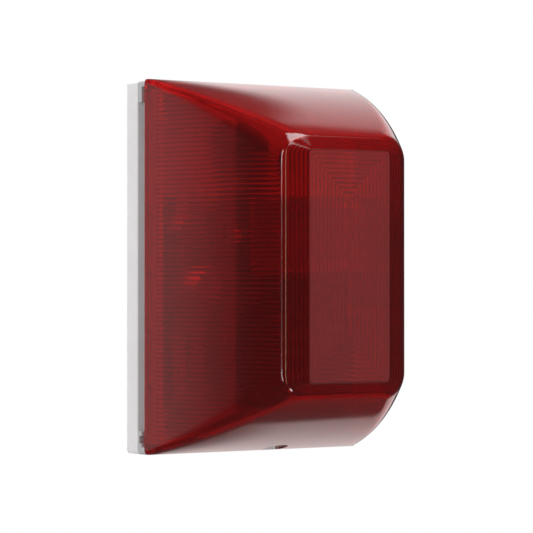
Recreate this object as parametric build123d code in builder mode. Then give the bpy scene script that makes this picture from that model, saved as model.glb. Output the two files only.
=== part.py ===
from build123d import *
import math
import os

# Wall-mounted alarm siren with a strobe under a red cover. Millimetres, +Z up.
# The wall is the plane y = 0 and the siren's front faces -Y, so a "depth" below is a
# distance out from the wall. The origin is the centre of the back plate's rear face.

# ---------------------------------------------------------------- driving dimensions
PLATE_W = 90.0
PLATE_H = 130.0
PLATE_CORNER = 1.3
FLOOR = 3.0                  # back plate's floor thickness
PLATE_SIDE = 2.4             # back plate's outer side wall
PLATE_TOP = 11.4             # front edge of that side wall
SIDE_LEDGE = 9.6             # the side walls stop here, leaving the sound slot
COVER_BASE = 11.5            # rear edge of the cover
COVER_SKIN = 2.4
FACE_DEPTH = 70.3            # flat front face of the cover
FACE_W = 33.0
FACE_H = 78.4
RING_DROP = 3.2              # the sloping ring falls this far back from the face
WALL_RADIUS = 240.0          # the cover's four walls are arcs of this radius
SIDE_LEAN = 12.2             # degrees the side walls already lean in at the rear edge
TOP_LEAN = 13.4              # the same for the top and bottom walls
CREASE_REAR = 1.8            # rounding between neighbouring cover walls
CREASE_FRONT = 8.5
RIM_W = 82.0                 # raised rim of the back plate, inside the cover
RIM_H = 122.4
RIM_SKIN = 1.6
RIM_TOP = 16.0

BOARD_BACK = 10.0
BOARD_SKIN = 1.6
BOARD = BOARD_BACK + BOARD_SKIN
BOARD_W = 76.0
BOARD_BOTTOM = -50.5
BOARD_TOP = 24.0

HORN_Z = -29.0
HORN_R = 25.0
TUBE_Z = 11.0                # flash tube's height
TUBE_DEPTH = 42.0
TUBE_R = 2.0
TUBE_LENGTH = 52.0

CABLE_HOLE_Z = 42.0
CABLE_HOLE_R = 10.0
FIXING_X = 33.0
FIXING_Z = 55.0
FIXING_R = 2.25
BOARD_SCREW_POINTS = [(-35.0, 20.5), (35.0, 20.5), (-35.0, -19.0), (35.0, -17.4)]

LOCK_X = 7.5                 # cover screw stands right of the middle
LOCK_DEPTH = 15.0
SCREW_R = 1.5
SCREW_LENGTH = 4.5           # short enough to swing past the horn with the cover
SCREW_HEAD_R = 3.0
SCREW_HEAD = 1.9
SCREW_RECESS = 1.2
SCREW_RECESS_W = 3.8
HEAD_HOLE_R = 4.4
SHANK_HOLE_R = 1.7
BOSS_R = 5.6
BOSS_TOP = -60.3
HEAD_SEAT = -61.7
RETAINER_R = 2.9
HOOK_POINTS = [-22.0, 22.0]
HOOK_HALF_W = 4.0
POST_R = 2.2                 # post under the cover that presses the tamper switch
POST_BACK = 22.7

TAMPER_X = 31.0
TAMPER_Z = -44.5
TAMPER_STROKE = 2.5
DIP_X = 31.5
DIP_Z = -26.0
DIP_PITCH = 2.54
DIP_COUNT = 4
VOLUME_X = 31.5
VOLUME_Z = -35.8
TERMINAL_X = -32.0
TERMINAL_Z = -35.0
TERMINAL_PITCH = 5.08
TERMINAL_COUNT = 4

os.makedirs("parts", exist_ok=True)


def save(piece, name):
    """Label a finished piece and write it out under its own name."""
    piece.label = name
    export_step(piece, f"parts/{name}.step")


def facing(depth):
    """A sketch plane parallel to the wall, seen from the front, at a depth."""
    return Plane.XZ.offset(depth)


def turned(profile, x, z):
    """A round piece about a front-to-back axis at (x, z), from (radius, depth) points."""
    with BuildPart() as piece:
        with BuildSketch(Plane.XY.offset(z)):
            with BuildLine():
                Polyline(*[(x + radius, -depth) for radius, depth in profile], close=True)
            make_face()
        revolve(axis=Axis((x, 0, z), (0, 1, 0)))
    return piece.part


def slab(width, height, x, z, back, front, corner=0.0):
    """A block parallel to the wall between two depths, with rounded upright corners."""
    with BuildPart() as piece:
        with BuildSketch(facing(back)):
            with Locations((x, z)):
                if corner:
                    RectangleRounded(width, height, corner)
                else:
                    Rectangle(width, height)
        extrude(amount=front - back)
    return piece.part


def pegs(points, radius, back, front):
    """Equal round pegs standing off the wall at several points."""
    with BuildPart() as piece:
        with BuildSketch(facing(back)):
            with Locations(*points):
                Circle(radius)
        extrude(amount=front - back)
    return piece.part


def cross_head_screws(points, shank_r, head_r, tip, under_head, head):
    """Pan-head screws with a cross recess, pointing at the wall."""
    recess_depth = 0.6 * head
    with BuildPart() as screws:
        add(pegs(points, shank_r, tip, under_head))
        add(pegs(points, head_r, under_head, under_head + head))
        with BuildSketch(facing(under_head + head - recess_depth)):
            with Locations(*points):
                Rectangle(1.2 * head_r, 0.28 * head_r)
                Rectangle(0.28 * head_r, 1.2 * head_r)
        extrude(amount=recess_depth, mode=Mode.SUBTRACT)
    return screws.part


# ---------------------------------------------------------------- cover
def wall_inset(beyond, start_lean):
    """How far a cover wall has leaned in at a distance in front of its rear edge."""
    lean = math.radians(start_lean)
    rise = beyond + WALL_RADIUS * math.sin(lean)
    return WALL_RADIUS * math.cos(lean) - math.sqrt(WALL_RADIUS**2 - rise**2)


def cover_section(beyond, side_skin, corner):
    """The cover's outline at a distance in front of its rear edge."""
    across = PLATE_W - 2 * (wall_inset(beyond, SIDE_LEAN) + side_skin)
    upward = PLATE_H - 2 * (wall_inset(beyond, TOP_LEAN) + side_skin)
    RectangleRounded(across, upward, corner)


def crease_radius(share):
    """Rounding of the creases between walls: small at the rear, open at the ring."""
    return CREASE_REAR + (CREASE_FRONT - CREASE_REAR) * share


def cover_form(skin):
    """The cover's outside form, or with a skin the form that far inside it."""
    wall_depth = FACE_DEPTH - RING_DROP - COVER_BASE
    steps = 6
    side_skin = 1.05 * skin
    with BuildPart() as form:
        for step in range(steps + 1):
            share = step / steps
            beyond = share * (wall_depth - skin * 0.75)
            corner = max(crease_radius(share) - 0.6 * skin, 0.5)
            with BuildSketch(facing(COVER_BASE + beyond)):
                cover_section(beyond, side_skin, corner)
        loft()
    ring_corner = max(crease_radius(1.0) - 0.6 * skin, 0.5)
    with BuildPart() as front:
        with BuildSketch(facing(FACE_DEPTH - RING_DROP - skin * 0.75)):
            cover_section(wall_depth - skin * 0.75, side_skin, ring_corner)
        with BuildSketch(facing(FACE_DEPTH - skin)):
            RectangleRounded(FACE_W - 0.8 * skin, FACE_H - 0.8 * skin, 1.2)
        loft(ruled=True)
    with BuildPart() as whole:
        add(form.part)
        add(front.part)
    return whole.part


def hook(x):
    """A tongue behind the cover's top edge whose wedge snaps up into the plate."""
    with BuildPart() as piece:
        with BuildSketch(Plane.YZ.offset(x - HOOK_HALF_W)):
            with BuildLine():
                Polyline(
                    (-7.7, 61.3),
                    (-7.7, 63.7),
                    (-9.7, 62.3),
                    (-COVER_BASE, 62.3),
                    (-COVER_BASE, 63.2),
                    (-13.5, 63.2),
                    (-13.5, 61.3),
                    close=True,
                )
            make_face()
        extrude(amount=2 * HOOK_HALF_W)
    return piece.part


LOCK_PLANE_Z = -PLATE_H / 2
with BuildPart() as tamper_post:
    with BuildSketch(facing(POST_BACK)):
        with Locations((TAMPER_X, TAMPER_Z)):
            Circle(POST_R)
    extrude(amount=FACE_DEPTH - POST_BACK)
    add(cover_form(0.9), mode=Mode.INTERSECT)

with BuildPart() as lock_boss:
    with BuildSketch(Plane.XY.offset(LOCK_PLANE_Z)):
        with Locations((LOCK_X, -LOCK_DEPTH)):
            Circle(BOSS_R)
    extrude(amount=BOSS_TOP - LOCK_PLANE_Z)
    add(cover_form(0.0), mode=Mode.INTERSECT)

with BuildPart() as lens_cover:
    add(cover_form(0.0))
    add(cover_form(COVER_SKIN), mode=Mode.SUBTRACT)
    add(tamper_post.part)
    add(lock_boss.part)
    for hook_x in HOOK_POINTS:
        add(hook(hook_x))
    with BuildSketch(Plane.XY.offset(LOCK_PLANE_Z)):
        with Locations((LOCK_X, -LOCK_DEPTH)):
            Circle(HEAD_HOLE_R)
    extrude(amount=HEAD_SEAT - LOCK_PLANE_Z, mode=Mode.SUBTRACT)
    with BuildSketch(Plane.XY.offset(HEAD_SEAT)):
        with Locations((LOCK_X, -LOCK_DEPTH)):
            Circle(SHANK_HOLE_R)
    extrude(amount=BOSS_TOP + 2.0 - HEAD_SEAT, mode=Mode.SUBTRACT)
save(lens_cover.part, "lens_cover")

# Cover screw: stands upright, its head in the recess under the cover.
with BuildPart() as cover_screw:
    with BuildSketch(Plane.XY.offset(HEAD_SEAT - SCREW_HEAD)):
        with Locations((LOCK_X, -LOCK_DEPTH)):
            Circle(SCREW_HEAD_R)
    extrude(amount=SCREW_HEAD)
    with BuildSketch(Plane.XY.offset(HEAD_SEAT)):
        with Locations((LOCK_X, -LOCK_DEPTH)):
            Circle(SCREW_R)
    extrude(amount=SCREW_LENGTH)
    with BuildSketch(Plane.XY.offset(HEAD_SEAT - SCREW_HEAD)):
        with Locations((LOCK_X, -LOCK_DEPTH)):
            Rectangle(SCREW_RECESS_W, 0.8)
            Rectangle(0.8, SCREW_RECESS_W)
    extrude(amount=SCREW_RECESS, mode=Mode.SUBTRACT)
save(cover_screw.part, "cover_screw")

with BuildPart() as screw_retainer:
    with BuildSketch(Plane.XY.offset(BOSS_TOP + 0.1)):
        with Locations((LOCK_X, -LOCK_DEPTH)):
            Circle(RETAINER_R)
            Circle(SCREW_R, mode=Mode.SUBTRACT)
    extrude(amount=1.0)
save(screw_retainer.part, "screw_retainer")

# ---------------------------------------------------------------- back plate
HALF_W = PLATE_W / 2
HALF_H = PLATE_H / 2
SLOT_HALF = 62.4
HOOK_GAP = 11.0
SCREW_GAP = 14.0
RIB_X = 18.0
RIB_SKIN = 1.2
RIB_LENGTH = 29.0
RIB_DEPTH = 3.0
LUG_TOP = 19.0
LUG_BOTTOM_Z = -58.9
LUG_TOP_Z = -54.2
BOSS_FOOT_R = 3.2
PILOT_R = 1.1
HORN_LUG_ANGLES = [45, 135, 225, 315]
HORN_LUG_RING = 22.8
HORN_LUG_POINTS = [
    (
        HORN_LUG_RING * math.cos(math.radians(angle)),
        HORN_Z + HORN_LUG_RING * math.sin(math.radians(angle)),
    )
    for angle in HORN_LUG_ANGLES
]


def side_scoop(side):
    """The shallow finger scoop along one side wall, behind the sound slot."""
    with BuildPart() as scoop:
        with BuildSketch(Plane.XY.offset(-57.0)):
            with BuildLine():
                Polyline(
                    (side * (HALF_W + 1.0), -6.6),
                    (side * HALF_W, -6.6),
                    (side * (HALF_W - 1.3), -9.0),
                    (side * (HALF_W - 1.3), -PLATE_TOP - 1.0),
                    (side * (HALF_W + 1.0), -PLATE_TOP - 1.0),
                    close=True,
                )
            make_face()
        extrude(amount=114.0)
    return scoop.part


with BuildPart() as back_plate:
    add(slab(PLATE_W, PLATE_H, 0, 0, 0, FLOOR, PLATE_CORNER))
    with BuildSketch(facing(FLOOR)):
        RectangleRounded(PLATE_W, PLATE_H, PLATE_CORNER)
        Rectangle(PLATE_W - 2 * PLATE_SIDE, PLATE_H - 2 * PLATE_SIDE, mode=Mode.SUBTRACT)
    extrude(amount=PLATE_TOP - FLOOR)
    # rim that stands up inside the cover
    with BuildSketch(facing(FLOOR)):
        Rectangle(RIM_W, RIM_H)
        Rectangle(RIM_W - 2 * RIM_SKIN, RIM_H - 2 * RIM_SKIN, mode=Mode.SUBTRACT)
    extrude(amount=RIM_TOP - FLOOR)
    # the rim opens at the two hooks and at the cover screw
    rim_gaps = [(hook_x, 60.0, HOOK_GAP) for hook_x in HOOK_POINTS]
    rim_gaps.append((LOCK_X, -60.0, SCREW_GAP))
    for gap_x, gap_z, gap_width in rim_gaps:
        with BuildSketch(facing(FLOOR)):
            with Locations((gap_x, gap_z)):
                Rectangle(gap_width, 4.0)
        extrude(amount=RIM_TOP, mode=Mode.SUBTRACT)
    # sound slot: the side walls end short of the cover, and the rim has windows there
    with BuildSketch(facing(SIDE_LEDGE)):
        with Locations((-HALF_W, 0), (HALF_W, 0)):
            Rectangle(2 * PLATE_SIDE + 0.4, 2 * SLOT_HALF)
    extrude(amount=PLATE_TOP, mode=Mode.SUBTRACT)
    for side in (-1, 1):
        add(side_scoop(side), mode=Mode.SUBTRACT)
        with BuildSketch(facing(8.2)):
            with Locations((side * HALF_W, -59.8)):
                Rectangle(2 * PLATE_SIDE + 0.4, 2.6)
        extrude(amount=4.0, mode=Mode.SUBTRACT)
    with BuildSketch(facing(8.8)):
        with Locations((-RIM_W / 2, 0), (RIM_W / 2, 0)):
            with GridLocations(0, 20.0, 1, 6):
                Rectangle(3 * RIM_SKIN, 17.0)
    extrude(amount=2.8, mode=Mode.SUBTRACT)
    # pockets in the top wall for the hooks
    with BuildSketch(facing(7.3)):
        with Locations(*[(hook_x, 62.6) for hook_x in HOOK_POINTS]):
            Rectangle(2 * HOOK_HALF_W + 0.8, 3.0)
    extrude(amount=2.6, mode=Mode.SUBTRACT)
    # forked lug behind the cover screw
    add(slab(12.0, LUG_TOP_Z - LUG_BOTTOM_Z, LOCK_X, (LUG_TOP_Z + LUG_BOTTOM_Z) / 2, FLOOR, LUG_TOP))
    with BuildSketch(Plane.XY.offset(LUG_BOTTOM_Z)):
        with Locations((LOCK_X, -LOCK_DEPTH)):
            Circle(1.75)
        with Locations((LOCK_X, -LOCK_DEPTH - 5.0)):
            Rectangle(3.5, 10.0)
    extrude(amount=LUG_TOP_Z - LUG_BOTTOM_Z, mode=Mode.SUBTRACT)
    # bosses that carry the board, and the horn's screws through it
    add(pegs(BOARD_SCREW_POINTS, BOSS_FOOT_R, FLOOR, BOARD_BACK))
    add(pegs(HORN_LUG_POINTS, BOSS_FOOT_R, FLOOR, BOARD_BACK))
    with BuildSketch(facing(4.0)):
        with Locations(*BOARD_SCREW_POINTS, *HORN_LUG_POINTS):
            Circle(PILOT_R)
    extrude(amount=BOARD_BACK - 4.0, mode=Mode.SUBTRACT)
    # collars and holes for the wall screws
    fixing_points = [(x, z) for x in (-FIXING_X, FIXING_X) for z in (-FIXING_Z, FIXING_Z)]
    add(pegs(fixing_points, 4.6, FLOOR, 4.6))
    with BuildSketch(facing(0)):
        with Locations(*fixing_points):
            Circle(FIXING_R)
    extrude(amount=4.6, mode=Mode.SUBTRACT)
    # cable entry
    with BuildSketch(facing(0)):
        with Locations((0, CABLE_HOLE_Z)):
            Circle(CABLE_HOLE_R)
    extrude(amount=FLOOR, mode=Mode.SUBTRACT)
    # stiffening ribs across the floor
    with BuildSketch(facing(FLOOR)):
        with Locations((-RIB_X, CABLE_HOLE_Z + 1.0), (RIB_X, CABLE_HOLE_Z + 1.0)):
            Rectangle(RIB_SKIN, RIB_LENGTH)
    extrude(amount=RIB_DEPTH)
save(back_plate.part, "back_plate")

# Rubber grommet in the cable entry, with a pierced membrane for the cable.
CABLE_R = 3.0
with BuildPart() as cable_grommet:
    add(
        turned(
            [
                (CABLE_R, 1.0),
                (7.6, 1.0),
                (7.6, 0.6),
                (CABLE_HOLE_R - 0.05, 0.6),
                (CABLE_HOLE_R - 0.05, FLOOR),
                (12.0, FLOOR),
                (12.0, 4.6),
                (8.4, 4.6),
                (7.6, 2.8),
                (CABLE_R, 2.8),
            ],
            0,
            CABLE_HOLE_Z,
        )
    )
save(cable_grommet.part, "cable_grommet")

# ---------------------------------------------------------------- circuit board
with BuildPart() as circuit_board:
    board_height = BOARD_TOP - BOARD_BOTTOM
    add(slab(BOARD_W, board_height, 0, (BOARD_TOP + BOARD_BOTTOM) / 2, BOARD_BACK, BOARD, 2.0))
    with BuildSketch(facing(BOARD_BACK)):
        with Locations(*BOARD_SCREW_POINTS, *HORN_LUG_POINTS):
            Circle(1.6)
    extrude(amount=BOARD_SKIN, mode=Mode.SUBTRACT)
save(circuit_board.part, "circuit_board")

board_screws = cross_head_screws(BOARD_SCREW_POINTS, 1.05, 2.6, 5.0, BOARD, 1.7)
save(board_screws, "board_screws")

# ---------------------------------------------------------------- horn
COLLAR_R = 20.0
DRIVER_R = 14.2
SEAT = 20.8
with BuildPart() as horn_housing:
    add(
        turned(
            [
                (DRIVER_R + 0.1, BOARD),
                (COLLAR_R, BOARD),
                (COLLAR_R, 22.0),
                (HORN_R, 35.0),
                (HORN_R, 38.4),
                (HORN_R - 1.8, 38.4),
                (HORN_R - 1.8, 36.6),
                (HORN_R - 3.0, 36.6),
                (17.4, 23.4),
                (17.4, SEAT),
                (DRIVER_R + 0.1, SEAT),
            ],
            0,
            HORN_Z,
        )
    )
    add(pegs(HORN_LUG_POINTS, 3.6, BOARD, 15.0))
    with BuildSketch(facing(BOARD)):
        with Locations(*HORN_LUG_POINTS):
            Circle(1.25)
    extrude(amount=4.0, mode=Mode.SUBTRACT)
    with BuildSketch(Plane.XY.offset(HORN_Z + 12.0)):
        with Locations((-6.3, -16.5), (-3.7, -16.5)):
            Circle(0.75)
    extrude(amount=10.0, mode=Mode.SUBTRACT)
save(horn_housing.part, "horn_housing")

with BuildPart() as horn_driver:
    add(
        turned(
            [
                (0.0, 12.2),
                (11.0, 12.2),
                (11.0, 13.4),
                (DRIVER_R, 13.4),
                (DRIVER_R, SEAT - 0.2),
                (12.6, SEAT - 0.2),
                (12.6, 18.8),
                (6.0, 18.8),
                (6.0, 19.6),
                (0.0, 19.6),
            ],
            0,
            HORN_Z,
        )
    )
save(horn_driver.part, "horn_driver")

with BuildPart() as horn_diaphragm:
    add(
        turned(
            [
                (0.0, 24.6),
                (6.0, 23.6),
                (10.5, SEAT + 0.9),
                (13.0, SEAT + 1.1),
                (15.4, SEAT + 0.4),
                (17.3, SEAT + 0.4),
                (17.3, SEAT),
                (15.2, SEAT),
                (13.0, SEAT + 0.7),
                (10.6, SEAT + 0.4),
                (5.8, 23.1),
                (0.0, 24.1),
            ],
            0,
            HORN_Z,
        )
    )
save(horn_diaphragm.part, "horn_diaphragm")

GRILLE_BACK = 36.6
GRILLE_FRONT = 37.8
with BuildPart() as horn_grille:
    with BuildSketch(facing(GRILLE_BACK)):
        with Locations((0, HORN_Z)):
            Circle(HORN_R - 1.9)
            for ring_radius, holes in [(5.0, 6), (10.0, 12), (15.0, 18), (19.6, 24)]:
                with PolarLocations(ring_radius, holes):
                    Circle(1.5, mode=Mode.SUBTRACT)
            Circle(1.5, mode=Mode.SUBTRACT)
    extrude(amount=GRILLE_FRONT - GRILLE_BACK)
save(horn_grille.part, "horn_grille")

horn_screws = cross_head_screws(HORN_LUG_POINTS, 1.05, 2.5, 5.0, 15.0, 1.7)
save(horn_screws, "horn_screws")

# Two-way plug above the horn, with the two leads that run into the horn's collar.
PLUG_X = -5.0
PLUG_Z = -1.5
with BuildPart() as horn_header:
    add(slab(7.4, 5.8, PLUG_X, PLUG_Z, BOARD, 18.0))
    add(slab(6.2, 4.6, PLUG_X, PLUG_Z, 12.8, 18.0), mode=Mode.SUBTRACT)
save(horn_header.part, "horn_header")

with BuildPart() as horn_plug:
    add(slab(6.0, 4.4, PLUG_X, PLUG_Z, 12.9, 20.0, 0.4))
    with BuildSketch(Plane.XY.offset(PLUG_Z - 2.2)):
        with Locations((PLUG_X - 1.3, -19.0), (PLUG_X + 1.3, -19.0)):
            Circle(0.62)
    extrude(amount=2.0, mode=Mode.SUBTRACT)
save(horn_plug.part, "horn_plug")

LEAD_R = 0.6
with BuildPart() as horn_leads:
    for lead_x in (PLUG_X - 1.3, PLUG_X + 1.3):
        with BuildLine(Plane.YZ.offset(lead_x)) as lead_path:
            FilletPolyline(
                (-19.0, PLUG_Z - 0.6),
                (-19.0, PLUG_Z - 4.2),
                (-16.5, PLUG_Z - 6.4),
                (-16.5, HORN_Z + 17.0),
                radius=1.4,
            )
        with BuildSketch(Plane(origin=lead_path.line @ 0, z_dir=lead_path.line % 0)):
            Circle(LEAD_R)
        sweep(path=lead_path.line)
save(horn_leads.part, "horn_leads")

# ---------------------------------------------------------------- strobe
STAND_BACK = 30.0
STAND_FRONT = 31.6
LEG_POINTS = [(-24.5, 1.4), (24.5, 1.4), (-24.5, 21.0), (24.5, 21.0)]
with BuildPart() as reflector_stand:
    add(slab(56.0, 26.0, 0, TUBE_Z, STAND_BACK, STAND_FRONT, 2.0))
    add(pegs(LEG_POINTS, 2.0, BOARD, STAND_BACK))
    with BuildSketch(facing(STAND_BACK)):
        with Locations((-25.2, TUBE_Z), (25.2, TUBE_Z)):
            Rectangle(2.4, 5.0)
    extrude(amount=STAND_FRONT - STAND_BACK, mode=Mode.SUBTRACT)
save(reflector_stand.part, "reflector_stand")

BOWL_FRONT = 50.0


def bowl_form(skin):
    """The reflector bowl's outside form, or the hollow a skin's thickness inside it."""
    with BuildPart() as form:
        with BuildSketch(facing(STAND_FRONT + skin)):
            with Locations((0, TUBE_Z)):
                RectangleRounded(34.0 - 2 * skin, 9.0 - 2 * skin, 2.0)
        with BuildSketch(facing(TUBE_DEPTH)):
            with Locations((0, TUBE_Z)):
                RectangleRounded(46.0 - 2 * skin, 21.0 - 2 * skin, 3.0)
        with BuildSketch(facing(BOWL_FRONT)):
            with Locations((0, TUBE_Z)):
                RectangleRounded(52.0 - 2 * skin, 26.0 - 2 * skin, 3.5)
        loft()
    return form.part


with BuildPart() as strobe_reflector:
    add(bowl_form(0.0))
    add(bowl_form(1.2), mode=Mode.SUBTRACT)
    with BuildSketch(Plane.YZ.offset(-TUBE_LENGTH / 2)):
        with Locations((-TUBE_DEPTH, TUBE_Z)):
            Circle(TUBE_R + 0.3)
    extrude(amount=TUBE_LENGTH, mode=Mode.SUBTRACT)
save(strobe_reflector.part, "strobe_reflector")

CAP_LENGTH = 4.0
with BuildPart() as flash_tube:
    with BuildSketch(Plane.YZ.offset(-TUBE_LENGTH / 2 + CAP_LENGTH)):
        with Locations((-TUBE_DEPTH, TUBE_Z)):
            Circle(TUBE_R)
    extrude(amount=TUBE_LENGTH - 2 * CAP_LENGTH)
save(flash_tube.part, "flash_tube")

with BuildPart() as tube_caps:
    with BuildSketch(Plane.YZ.offset(-TUBE_LENGTH / 2)):
        with Locations((-TUBE_DEPTH, TUBE_Z)):
            Circle(TUBE_R + 0.2)
    extrude(amount=CAP_LENGTH)
    mirror(about=Plane.YZ)
save(tube_caps.part, "tube_caps")

LEAD_X = TUBE_LENGTH / 2 - 1.4
with BuildPart() as tube_leads:
    add(pegs([(-LEAD_X, TUBE_Z), (LEAD_X, TUBE_Z)], 0.5, BOARD, TUBE_DEPTH - TUBE_R - 0.2))
save(tube_leads.part, "tube_leads")

# ---------------------------------------------------------------- board components
with BuildPart() as trigger_coil:
    add(slab(9.0, 7.0, 12.0, 17.0, BOARD, 19.5, 0.8))
    add(turned([(0.0, 19.5), (1.6, 19.5), (1.6, 21.5), (0.0, 21.5)], 12.0, 17.0))
save(trigger_coil.part, "trigger_coil")

with BuildPart() as storage_capacitor:
    add(
        turned(
            [
                (0.0, BOARD),
                (5.0, BOARD),
                (5.0, 13.4),
                (4.7, 13.8),
                (4.7, 14.4),
                (5.0, 14.8),
                (5.0, 31.4),
                (4.6, 32.0),
                (4.0, 32.0),
                (4.0, 31.7),
                (0.0, 31.7),
            ],
            -30.5,
            -7.0,
        )
    )
save(storage_capacitor.part, "storage_capacitor")

TRANSFORMER_X = 30.3
TRANSFORMER_Z = -7.9
with BuildPart() as step_up_transformer:
    add(slab(12.0, 3.0, TRANSFORMER_X, TRANSFORMER_Z + 5.2, BOARD, 23.0, 0.4))
    add(slab(12.0, 3.0, TRANSFORMER_X, TRANSFORMER_Z - 5.2, BOARD, 23.0, 0.4))
    add(slab(12.0, 13.4, TRANSFORMER_X, TRANSFORMER_Z, BOARD, 13.4, 0.4))
    add(slab(12.0, 13.4, TRANSFORMER_X, TRANSFORMER_Z, 21.2, 23.0, 0.4))
save(step_up_transformer.part, "step_up_transformer")

with BuildPart() as transformer_winding:
    add(slab(9.6, 7.2, TRANSFORMER_X, TRANSFORMER_Z, 13.5, 21.1, 2.2))
save(transformer_winding.part, "transformer_winding")

with BuildPart() as choke_coil:
    add(
        turned(
            [(3.0, BOARD), (6.4, BOARD), (7.0, 12.4), (7.0, 17.2), (6.4, 18.0), (3.0, 18.0)],
            -14.0,
            14.8,
        )
    )
save(choke_coil.part, "choke_coil")

with BuildPart() as controller_chip:
    add(slab(7.6, 10.0, 2.0, 9.0, BOARD + 0.3, 13.6, 0.3))
save(controller_chip.part, "controller_chip")

with BuildPart() as chip_legs:
    for side in (-1, 1):
        with BuildSketch(facing(BOARD)):
            with Locations((2.0 + side * 4.9, 9.0)):
                with GridLocations(0, 1.27, 1, 7):
                    Rectangle(2.0, 0.45)
        extrude(amount=0.35)
save(chip_legs.part, "chip_legs")

with BuildPart() as heatsink:
    add(slab(1.4, 17.0, 36.0, 8.5, BOARD, 29.0))
    for fin in range(5):
        add(slab(2.6, 1.0, 34.1, 1.0 + 3.7 * fin, BOARD + 6.0, 29.0))
    add(slab(2.7, 1.0, 34.05, 0.5, BOARD, 29.0))
save(heatsink.part, "heatsink")

with BuildPart() as driver_transistor:
    add(slab(4.4, 9.6, 30.4, 8.4, 15.5, 24.5, 0.5))
    add(slab(0.7, 9.6, 32.4, 8.4, 15.5, 27.5))
    with BuildSketch(facing(BOARD)):
        with Locations((30.4, 8.4)):
            with GridLocations(0, 2.54, 1, 3):
                Rectangle(0.6, 0.8)
    extrude(amount=15.5 - BOARD)
save(driver_transistor.part, "driver_transistor")

FILTER_POINTS = [(-33.4, 12.6), (-33.4, 4.6), (20.5, 13.0)]
with BuildPart() as filter_capacitors:
    for cap_x, cap_z in FILTER_POINTS:
        add(
            turned(
                [(0.0, BOARD), (3.15, BOARD), (3.15, 21.8), (2.7, 22.3), (0.0, 22.3)],
                cap_x,
                cap_z,
            )
        )
save(filter_capacitors.part, "filter_capacitors")

DIODE_Z = [2.0, 5.4, 8.8]
with BuildPart() as power_diodes:
    for diode_z in DIODE_Z:
        with BuildSketch(Plane.YZ.offset(10.6)):
            with Locations((-BOARD - 1.4, diode_z)):
                Circle(1.3)
        extrude(amount=5.2)
        with BuildSketch(Plane.YZ.offset(8.6)):
            with Locations((-BOARD - 1.4, diode_z)):
                Circle(0.4)
        extrude(amount=9.2)
save(power_diodes.part, "power_diodes")

RESISTOR_STARTS = [(-15.2, 2.6), (-15.2, 5.4), (9.6, -3.2), (9.6, -6.2)]
with BuildPart() as resistors:
    for start_x, resistor_z in RESISTOR_STARTS:
        with BuildSketch(Plane.YZ.offset(start_x)):
            with Locations((-BOARD - 1.2, resistor_z)):
                Circle(0.3)
        extrude(amount=8.6)
        with BuildSketch(Plane.YZ.offset(start_x + 1.8)):
            with Locations((-BOARD - 1.2, resistor_z)):
                Circle(1.05)
        extrude(amount=5.0)
save(resistors.part, "resistors")

LED_POINTS = [(-20.5, 21.8), (20.5, 21.8)]
with BuildPart() as status_leds:
    for led_x, led_z in LED_POINTS:
        add(
            turned(
                [
                    (0.0, BOARD),
                    (1.9, BOARD),
                    (1.9, BOARD + 1.0),
                    (1.5, BOARD + 1.0),
                    (1.5, BOARD + 3.6),
                    (1.1, BOARD + 4.7),
                    (0.0, BOARD + 5.1),
                ],
                led_x,
                led_z,
            )
        )
save(status_leds.part, "status_leds")

with BuildPart() as fuse:
    with BuildSketch(Plane.YZ.offset(-7.5)):
        with Locations((-BOARD - 2.6, 21.3)):
            Circle(2.2)
    extrude(amount=14.0)
save(fuse.part, "fuse")

# ---------------------------------------------------------------- terminal block
TERMINAL_LENGTH = TERMINAL_PITCH * TERMINAL_COUNT + 1.0
TERMINAL_WIDTH = 8.0
TERMINAL_TOP = 21.6
TERMINAL_WAYS = [
    (TERMINAL_X, TERMINAL_Z + TERMINAL_PITCH * (way - (TERMINAL_COUNT - 1) / 2))
    for way in range(TERMINAL_COUNT)
]
with BuildPart() as terminal_block:
    add(slab(TERMINAL_WIDTH, TERMINAL_LENGTH, TERMINAL_X, TERMINAL_Z, BOARD, TERMINAL_TOP, 0.4))
    with BuildSketch(facing(BOARD + 4.0)):
        with Locations(*TERMINAL_WAYS):
            Circle(2.0)
    extrude(amount=TERMINAL_TOP, mode=Mode.SUBTRACT)
    with BuildSketch(Plane.YZ.offset(TERMINAL_X - TERMINAL_WIDTH / 2)):
        for way_x, way_z in TERMINAL_WAYS:
            with Locations((-BOARD - 3.4, way_z)):
                Rectangle(3.8, 3.6)
    extrude(amount=6.0, mode=Mode.SUBTRACT)
save(terminal_block.part, "terminal_block")

with BuildPart() as terminal_clamps:
    for way_x, way_z in TERMINAL_WAYS:
        add(slab(4.6, 3.2, way_x - 0.4, way_z, BOARD + 1.7, BOARD + 2.4))
save(terminal_clamps.part, "terminal_clamps")

with BuildPart() as terminal_screws:
    for way_x, way_z in TERMINAL_WAYS:
        add(
            turned(
                [(0.0, BOARD + 5.5), (1.3, BOARD + 5.5), (1.3, 18.2), (1.9, 18.2), (1.9, 20.6), (0.0, 20.6)],
                way_x,
                way_z,
            )
        )
    with BuildSketch(facing(19.6)):
        with Locations(*TERMINAL_WAYS):
            Rectangle(4.0, 0.6)
    extrude(amount=1.2, mode=Mode.SUBTRACT)
save(terminal_screws.part, "terminal_screws")

# ---------------------------------------------------------------- option switches
DIP_TRAVEL = 1.8
DIP_TOP = 15.4
DIP_FLOOR = 13.8
DIP_ROWS = [DIP_Z + DIP_PITCH * (way - (DIP_COUNT - 1) / 2) for way in range(DIP_COUNT)]
with BuildPart() as option_switch_body:
    add(slab(6.4, DIP_PITCH * DIP_COUNT + 0.9, DIP_X, DIP_Z, BOARD, DIP_TOP, 0.2))
    with BuildSketch(facing(DIP_FLOOR)):
        for row_z in DIP_ROWS:
            with Locations((DIP_X, row_z)):
                Rectangle(3.6, 1.5)
    extrude(amount=3.0, mode=Mode.SUBTRACT)
save(option_switch_body.part, "option_switch_body")

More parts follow.
